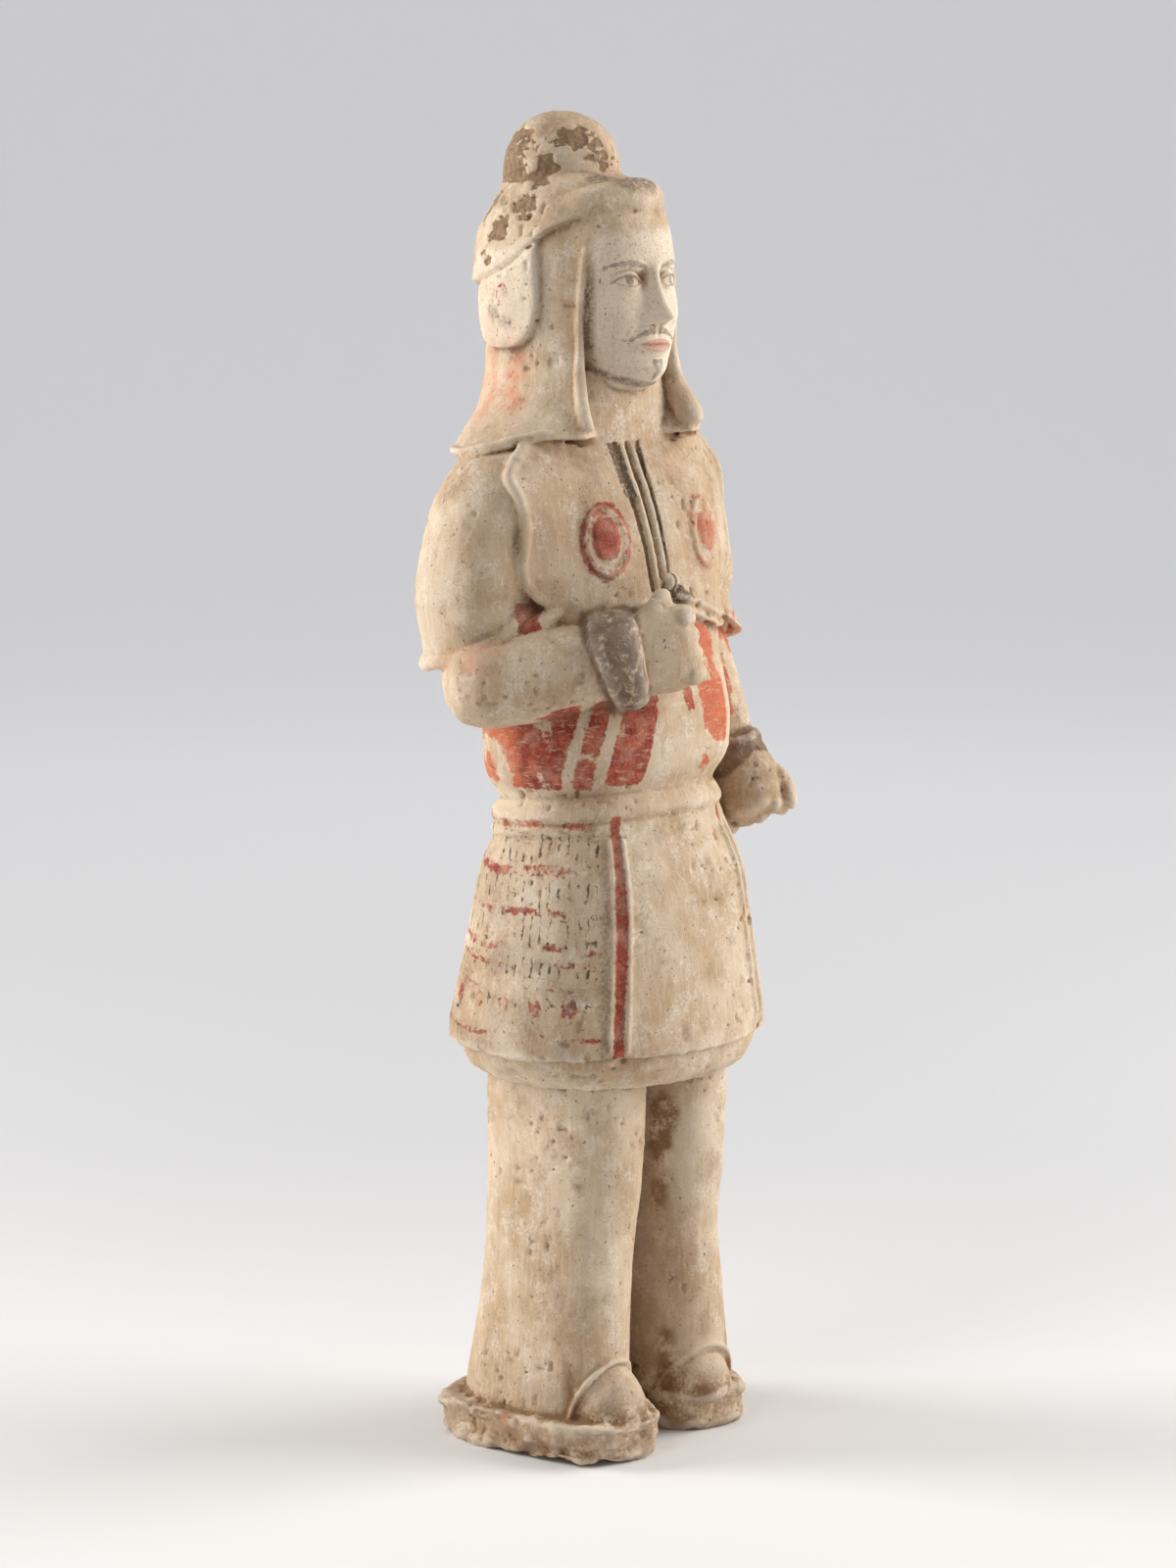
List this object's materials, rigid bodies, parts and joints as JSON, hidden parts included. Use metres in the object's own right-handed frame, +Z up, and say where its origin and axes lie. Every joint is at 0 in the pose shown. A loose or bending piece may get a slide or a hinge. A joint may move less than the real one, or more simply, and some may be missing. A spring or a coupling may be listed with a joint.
{
  "type": "pottery warrior figure",
  "caption": "Standing tomb figure of a warrior in a hooded helmet, breast plates and a flared skirt, one fist at the chest, moulded and painted in low-fired clay.",
  "frame": {"origin": "on the plane that the two foot slabs stand on, at the middle of the figure's outline seen from above", "axes": "+Z up through the figure, +X to the figure's left, and the figure faces -Y"},
  "size_m": [0.1285, 0.0938, 0.42],
  "materials": {
    "painted_clay": "unglazed, with worn white slip, red and black pigment and earth deposits"
  },
  "bodies": {
    "root": {"warrior_figure": "painted_clay"}
  },
  "joints": []
}
